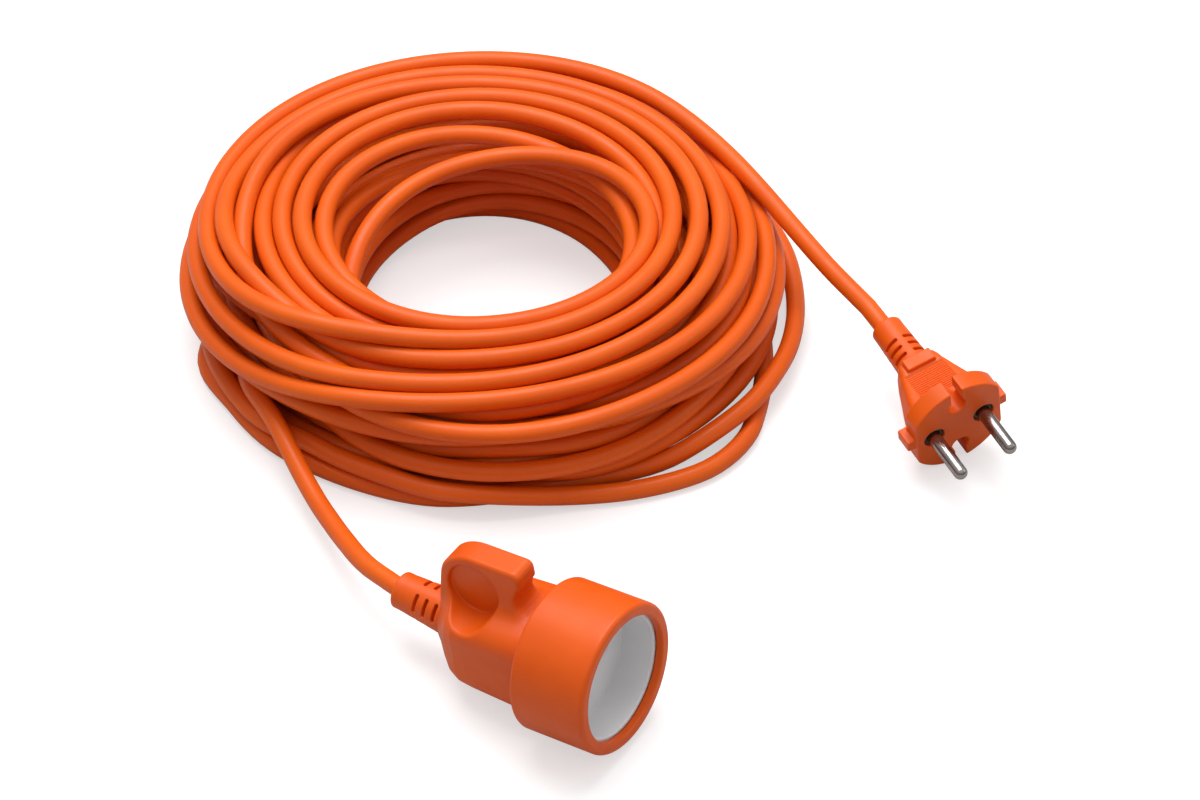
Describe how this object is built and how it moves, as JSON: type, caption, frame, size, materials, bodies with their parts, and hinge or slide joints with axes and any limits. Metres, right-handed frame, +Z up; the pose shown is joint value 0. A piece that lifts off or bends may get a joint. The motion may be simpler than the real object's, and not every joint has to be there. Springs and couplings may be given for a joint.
{
  "type": "extension cord",
  "caption": "Coiled two-core mains extension cord with a moulded round plug at one end and a moulded coupler socket with a hooked finger grip at the other.",
  "frame": {"origin": "on the floor, below the centre of the whole cord's bounding box", "axes": "+Z up; +X along the coupler, out towards its mouth, which is also the cord's longest side; +Y from the coupler to the coil"},
  "size_m": [0.3018, 0.2652, 0.0565],
  "materials": {
    "orange_pvc": "satin, softly mottled PVC overmould",
    "cable_pvc": "satin extruded PVC sheath",
    "white_insert": "smooth moulded white thermoplastic",
    "black_carrier": "black moulded thermoplastic",
    "nickel_pin": "nickel-plated brass, polished along the pin",
    "brass_contact": "stamped brass",
    "copper_strand": "bare twisted copper",
    "brown_insulation": "brown PVC core insulation",
    "blue_insulation": "blue PVC core insulation"
  },
  "bodies": {
    "root": {"socket_body": "orange_pvc", "socket_strain_relief": "orange_pvc", "socket_insert": "white_insert", "socket_insert_cover": "white_insert", "socket_contact_left": "brass_contact", "socket_contact_right": "brass_contact", "socket_core_brown": "brown_insulation", "socket_core_blue": "blue_insulation", "socket_conductor_brown": "copper_strand", "socket_conductor_blue": "copper_strand", "plug_body": "orange_pvc", "plug_strain_relief": "orange_pvc", "plug_bridge": "black_carrier", "plug_pin_left": "nickel_pin", "plug_pin_right": "nickel_pin", "plug_core_brown": "brown_insulation", "plug_core_blue": "blue_insulation", "plug_conductor_brown": "copper_strand", "plug_conductor_blue": "copper_strand", "cable_coil": "cable_pvc", "cable_tail_socket": "cable_pvc", "cable_tail_plug": "cable_pvc", "cable_turn_side": "cable_pvc", "cable_turn_front": "cable_pvc"}
  },
  "joints": []
}
